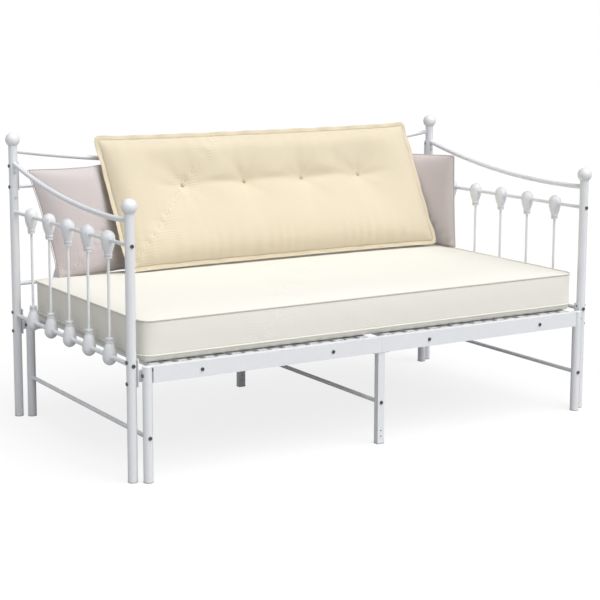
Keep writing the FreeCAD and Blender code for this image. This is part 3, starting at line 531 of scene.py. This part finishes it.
# ---- Back cushion ----
# One long fibre-filled pad in slubby oatmeal linen, tufted with four covered buttons in a row.
# Front and back are sewn together inside a flat flange, and it leans on the back's rails.
def sewn_bag(width, height, depth, columns, rows, tufts, dimple):
    """Two panels sewn round their edge. The filling's depth is the square root of a parabola each way,
    and falls to a dimple at each tuft as a bell curve."""
    a, b = np.meshgrid(np.linspace(0, 1, columns + 1), np.linspace(0, 1, rows + 1), indexing="ij")
    full = np.sqrt(4 * a * (1 - a)) * np.sqrt(4 * b * (1 - b))
    gap = np.full(a.shape, 9.0)
    for x, z in tufts:
        gap = np.minimum(gap, np.hypot(a * width - x, b * height - z))
    half = depth / 2 * full * (1 - (1 - dimple) * np.exp(-(gap / 0.06) ** 2))
    front = np.stack([a * width, -half, b * height], -1).reshape(-1, 3)
    index = np.arange(a.size).reshape(a.shape)
    loop = np.concatenate([index[:-1, 0], index[-1, :-1], index[:0:-1, -1], index[0, :0:-1]])
    inner = np.setdiff1d(index.ravel(), loop)
    behind = index.ravel().copy()
    behind[inner] = a.size + np.arange(len(inner))
    points = np.concatenate([front, front[inner] * np.array([1, -1, 1])])
    faces = np.concatenate([quads(index), quads(behind.reshape(a.shape))[:, ::-1]])
    panel = quads(np.stack([a * width, b * height], -1))
    layout = np.concatenate([panel, panel[:, ::-1]])
    tied = np.where((gap.ravel() < 0.011) & ~np.isin(index.ravel(), loop))[0]
    return points, faces, layout, loop, np.concatenate([tied, behind[tied]])


def settle(points, sewn, width, height, depth, pull):
    """Bring a blown-up bag back to its sewn size, as its filling is pressed flat between the hands.
    Along the panels it keeps that share of its pull from the sewn shape, and its depth is scaled."""
    eased = sewn + pull * (points - sewn)
    low, high = eased.min(0), eased.max(0)
    flat = (eased - (low + high) / 2) / (high - low)
    flat[:, 1] = points[:, 1] / (points[:, 1].max() - points[:, 1].min())
    return flat * np.array([width, depth, height]) + np.array([width / 2, 0, height / 2])


def tufted(points, tufts, height):
    """Filling drawn in at the buttons. Each tie is a bell-shaped pit with seven folds fanning from it as a
    cosine of the angle, a shallow bell-shaped crease joins the ties, and short pleats run in from the
    lower and upper seams as sines that die away with distance."""
    x, z = points[:, 0], points[:, 2]
    side = np.sign(points[:, 1])
    thick = np.abs(points[:, 1])
    full_thickness = 0.03
    inner = np.clip(thick / full_thickness, 0, 1)
    pit_radius = 0.032
    hollow_radius = 0.10
    fold_length = 0.075
    for number, (tuft_x, tuft_z) in enumerate(tufts):
        away = np.hypot(x - tuft_x, z - tuft_z)
        angle = np.arctan2(z - tuft_z, x - tuft_x)
        pit = 0.5 * np.exp(-(away / pit_radius) ** 2)
        hollow = 0.12 * np.exp(-(away / hollow_radius) ** 2)
        thick = thick * (1 - pit - hollow)
        fan = np.cos(7 * angle + number * 1.3) + 0.6 * np.cos(4 * angle + number)
        thick += inner * 0.0040 * fan * np.exp(-away / fold_length) * away / (away + 0.02)
    first, last = tufts[0][0], tufts[-1][0]
    reach = 1 / (1 + np.exp(-(x - first + 0.10) / 0.03)) / (1 + np.exp((x - last - 0.10) / 0.03))
    line = tufts[0][1] - 0.006 * np.cos((x - first) / (last - first) * 6 * math.pi)
    thick -= inner * 0.0080 * reach * np.exp(-((z - line) / 0.016) ** 2)
    pleat = np.sin(x * 118 + 2.2 * np.sin(x * 17)) * (0.6 + 0.4 * np.sin(x * 11 + 1))
    thick += inner * 0.0048 * pleat * np.exp(-z / 0.07)
    thick += inner * 0.0028 * np.sin(x * 90 + 2 * np.sin(x * 13)) * np.exp(-(height - z) / 0.05)
    return np.column_stack([x, side * np.maximum(thick, 0.0), z])


cushion_linen = cloth_finish(
    "cushion_linen", dark=(0.53, 0.458, 0.33, 1.0), light=(0.765, 0.68, 0.52, 1.0),
    threads=620.0, slub=0.9, depth=0.00012, sheen=0.25)
low, high = (np.array(corner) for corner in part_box("back_cushion"))
pad_depth = 0.078
pad_slump = 0.060
flange = 0.017
foot = np.array([low[0] + pad_slump, low[1] + pad_depth / 2, low[2]])
along = np.array([high[0] - low[0] - pad_slump, 0.0, 0.0])
rise = np.array([-pad_slump, high[1] - low[1] - pad_depth, high[2] - low[2]])
facing = np.cross(along, rise)
facing /= np.linalg.norm(facing)
pad_width = np.linalg.norm(along) - 2 * flange
pad_height = np.linalg.norm(rise) - 2 * flange
button_low, button_high = (np.array(corner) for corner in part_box("back_cushion_buttons"))
button_size = 0.011
button_level = 0.6
button_x = np.linspace(button_low[0] + button_size, button_high[0] - button_size, 4)
button_u = (button_x - (foot + rise * button_level)[0]) / along[0]
tufts = [(u * np.linalg.norm(along) - flange, button_level * np.linalg.norm(rise) - flange) for u in button_u]
sewn, faces, layout, seam, tied = sewn_bag(
    pad_width, pad_height, depth=0.07, columns=150, rows=54, tufts=tufts, dimple=0.2)
points = blow_up(sewn, faces, tied, pressure=4.0, frames=9)
points = settle(points, sewn, pad_width, pad_height, depth=0.118, pull=0.3)
back_fullness = 0.8
points[:, 1] *= np.where(points[:, 1] > 0, back_fullness, 1.0)
points = tufted(points, tufts, pad_height)


def lean(points):
    """Places a flat cushion on its slope: along the bed, up the slope, and out along its face."""
    u = (points[:, :1] + flange) / np.linalg.norm(along)
    v = (points[:, 2:] + flange) / np.linalg.norm(rise)
    return foot + u * along + v * rise - points[:, 1:2] * facing


pad = make_piece("back_cushion_pad", lean(points), faces, layout, cushion_linen)
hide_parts("back_cushion")
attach(pad, "bed_frame")

edge = points[seam]
ruffle = np.arange(len(edge)) / len(edge) * 2 * math.pi
edge[:, 1] += 0.0016 * np.sin(ruffle * 23) + 0.0012 * np.sin(ruffle * 41 + 1.0)
strip = np.array([[-0.003, 0.0016], [-0.003, -0.0016], [0.008, -0.0013], [0.0155, -0.0012], [0.0165, 0.0],
                  [0.0155, 0.0012], [0.008, 0.0013]])
frontward = np.array([0.0, -1.0, 0.0])
grid = carry(strip[::-1], edge, frontward)
outer = np.clip((strip[::-1, 0] - 0.003) / 0.013, 0, 1)
grid[:, :, 1] += 0.0028 * np.sin(ruffle * 31 + 0.5)[:, None] * outer[None]
flange_edge = ring_piece("back_cushion_flange", lean(grid.reshape(-1, 3)).reshape(grid.shape), cushion_linen)
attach(flange_edge, "bed_frame")


# ---- Tuft buttons ----
# Four domed buttons covered in the same linen, tied through the cushion from front to back. Their cloth is
# painted darker than the cushion's, as painted shade round each tie.
# Each sinks to the bottom of its own dimple.
def dome(centre, out, radius, thickness, rings, count):
    """A covered button: a flattened dome. Its rings go from the middle of the face over the rim to the
    back, and the height falls as the fourth power of the radius."""
    side = np.cross(out, np.array([1.0, 0.0, 0.0]))
    side /= np.linalg.norm(side)
    other = np.cross(side, out)
    share = np.linspace(0.02, 1, rings)
    radii = radius * np.concatenate([share, share[::-1]])
    level = thickness * np.concatenate([1 - share ** 4, -0.2 - 0 * share])
    turn = np.arange(count) / count * 2 * math.pi
    ring = np.cos(turn)[None, :, None] * side + np.sin(turn)[None, :, None] * other
    grid = centre + radii[:, None, None] * ring + level[:, None, None] * out
    return grid


# The buttons' linen is painted darker than the cushion's, standing for the shade in and around each dimple.
button_linen_painted_shade = cloth_finish(
    "button_linen_painted_shade", dark=(0.40, 0.34, 0.235, 1.0), light=(0.62, 0.54, 0.40, 1.0),
    threads=620.0, slub=0.8, depth=0.0006, sheen=0.25)
button_height = 0.0055
button_sides = 24
for number, (x, z) in enumerate(tufts):
    near = np.hypot(points[:, 0] - x, points[:, 2] - z) + (points[:, 1] > 0)
    root = lean(points[[np.argmin(near)]])[0]
    grid = dome(root, facing, button_size, button_height, rings=7, count=button_sides)
    index = np.arange(grid.shape[0] * button_sides).reshape(-1, button_sides)
    index = np.pad(index, ((0, 0), (0, 1)), mode="wrap")
    across, around = np.linspace(0, 0.03, grid.shape[0]), np.linspace(0, 0.07, button_sides + 1)
    u, v = np.meshgrid(across, around, indexing="ij")
    button = make_piece("tuft_button_%d" % (number + 1), grid.reshape(-1, 3), quads(index),
                        quads(np.stack([u, v], -1)), button_linen_painted_shade)
    if number == 0:
        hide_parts("back_cushion_buttons")
    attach(button, "bed_frame")


# ---- Throw pillows ----
# Two fibre pillows in mauve-grey linen with a thin cord in the seam, one in each rear corner.
# The right one is bent round the corner between the arm and the back.
def bent_line(knots, share):
    """Bezier curve: each knot's pull is its Bernstein weight at that share of the way along."""
    order = len(knots) - 1
    weights = [math.comb(order, i) * share ** i * (1 - share) ** (order - i) for i in range(order + 1)]
    return np.stack(weights, -1) @ np.asarray(knots)


def stand(points, width, height, knots, corner, up, sink):
    """Stands a flat pillow on a bent line: along the line, out from it, and up the rise. It is set down by
    a small share of its height, the sink, onto the edge of the mattress, which falls away to its seam."""
    step = 0.01
    share = np.clip(points[:, 0] / width, 0, 1)
    line = bent_line(knots, share)
    ahead = bent_line(knots, np.clip(share + step, 0, 1)) - bent_line(knots, np.clip(share - step, 0, 1))
    ahead /= np.linalg.norm(ahead, axis=1, keepdims=True)
    out = np.column_stack([ahead[:, 1], -ahead[:, 0]])
    plan = line + out * -points[:, 1:2]
    lift = (points[:, 2:] / height * (1 + sink) - sink) * up
    return np.column_stack([plan, np.zeros(len(plan))]) + corner + lift


pillow_linen = cloth_finish(
    "pillow_linen", dark=(0.43, 0.385, 0.385, 1.0), light=(0.67, 0.61, 0.61, 1.0),
    threads=620.0, slub=0.9, depth=0.00012, sheen=0.25)
pillow_sink = 0.035
pillow_cord_radius = 0.0022
sizes = {"left": (0.356, 0.434, 0.088), "right": (0.285, 0.404, 0.070)}
tilts = {"left": (-0.120, 0.0), "right": (-0.004, 0.014)}
bends = {
    "left": [(0.122, 0.045), (0.300, 0.040), (0.352, 0.045), (0.404, 0.088), (0.474, 0.088)],
    "right": [(0.008, 0.218), (0.105, 0.190), (0.150, 0.110), (0.158, 0.004)],
}
for side, (width, height, depth) in sizes.items():
    knots = bends[side]
    tilt = tilts[side]
    low, high = (np.array(corner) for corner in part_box("pillow_" + side))
    up = np.array([tilt[0], tilt[1], high[2] - low[2]])
    sewn, faces, layout, seam, tied = sewn_bag(
        width, height, depth=0.05, columns=40, rows=54, tufts=[], dimple=0.0)
    points = blow_up(sewn, faces, tied, pressure=4.0, frames=9)
    points = settle(points, sewn, width, height, depth, pull=0.4)
    if side == "right":
        points[:, 0] = width - points[:, 0]
        points[:, 1] *= -1
    else:
        inner = points[:, 0] / width
        points[:, 1] *= 1 - 0.78 * np.clip((inner - 0.6) / 0.3, 0, 1) ** 1.5
    placed = stand(points, width, height, knots, low, up, pillow_sink)
    pillow = make_piece("pillow_%s_pad" % side, placed, faces, layout, pillow_linen)
    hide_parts("pillow_" + side)
    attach(pillow, "bed_frame")
    rim = placed[seam]
    tube = carry(circle(pillow_cord_radius, count=6), rim, frontward)
    cord = ring_piece("pillow_%s_cord" % side, tube, pillow_linen)
    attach(cord, "bed_frame")


# ---- Studio: floor, light and camera ----
# A plain pale floor under a bright, even sky, with a large soft light from the front right and a weak one
# from the front left.
# The camera looks along the bed from its front left corner.
def pale_floor():
    """Backlit matt floor with a faint mottle. It shows only a trace of shadow and throws back less light
    than it shows, so undersides stay dark."""
    material, tree, shader = new_finish("floor_paint", 0.9, specular=0.1)
    place = put(tree, "ShaderNodeTexCoord").outputs["Object"]
    mottle = grain(tree, place, 3.0, 3.0)
    colour = tint(tree, mottle, (0.89, 0.89, 0.89, 1.0), (0.92, 0.92, 0.92, 1.0))
    tree.links.new(colour, shader.inputs["Base Color"])
    throw = put(tree, "ShaderNodeBsdfDiffuse", {"Color": (0.42, 0.42, 0.42, 1.0)})
    glow = put(tree, "ShaderNodeEmission", {"Color": (1.0, 1.0, 1.0, 1.0), "Strength": 1.0})
    lit = put(tree, "ShaderNodeMixShader", {0: 0.8, 1: shader.outputs[0], 2: glow.outputs[0]})
    seen = put(tree, "ShaderNodeLightPath").outputs["Is Camera Ray"]
    both = put(tree, "ShaderNodeMixShader", {0: seen, 1: throw.outputs[0], 2: lit.outputs[0]})
    output = next(n for n in tree.nodes if n.type == "OUTPUT_MATERIAL")
    tree.links.new(both.outputs[0], output.inputs["Surface"])
    return material


floor_size = 300.0
floor_level = -0.0005
floor_line = np.linspace(-floor_size, floor_size, 9)
x, y = np.meshgrid(floor_line, floor_line, indexing="ij")
index = np.arange(x.size).reshape(x.shape)
floor_points = np.stack([x, y, np.full_like(x, floor_level)], -1).reshape(-1, 3)
floor_map = quads(np.stack([x, y], -1))
floor = make_piece("floor", floor_points, quads(index), floor_map, pale_floor(), smooth=0)

sky = bpy.data.worlds.new("sky")
sky.use_nodes = True
sky_tree = sky.node_tree
sky_tree.nodes.clear()
soft = put(sky_tree, "ShaderNodeBackground", {"Color": (0.97, 0.98, 1.0, 1.0), "Strength": 0.42})
seen = put(sky_tree, "ShaderNodeBackground", {"Color": (1.0, 1.0, 1.0, 1.0), "Strength": 1.0})
choice = put(sky_tree, "ShaderNodeLightPath").outputs["Is Camera Ray"]
both = put(sky_tree, "ShaderNodeMixShader", {0: choice, 1: soft.outputs[0], 2: seen.outputs[0]})
put(sky_tree, "ShaderNodeOutputWorld", {"Surface": both.outputs[0]})
bpy.context.scene.world = sky


def soft_sun(name, azimuth, height, strength, spread_angle):
    """Even light from far off. Azimuth 0 comes from the front and 90 from the right, in degrees."""
    lamp = bpy.data.lights.new(name, "SUN")
    lamp.energy = strength
    lamp.angle = math.radians(spread_angle)
    holder = bpy.data.objects.new(name, lamp)
    holder.rotation_euler = (math.radians(90 - height), 0.0, math.radians(azimuth))
    bpy.context.scene.collection.objects.link(holder)


soft_sun("key", azimuth=20.0, height=58.0, strength=3.0, spread_angle=60.0)
soft_sun("fill", azimuth=-50.0, height=30.0, strength=0.25, spread_angle=70.0)

lens = bpy.data.cameras.new("camera")
lens.lens = 93.65
lens.sensor_width = 36.0
lens.shift_x = 0.05
lens.shift_y = -0.08
lens.clip_end = 1000.0
camera = bpy.data.objects.new("camera", lens)
camera.location = (-3.3138, -5.3017, 1.6363)
camera.rotation_euler = (math.radians(90.0 - 8.83), 0.0, math.radians(-30.77))
bpy.context.scene.collection.objects.link(camera)
bpy.context.scene.camera = camera
bpy.context.scene.view_settings.view_transform = "Standard"
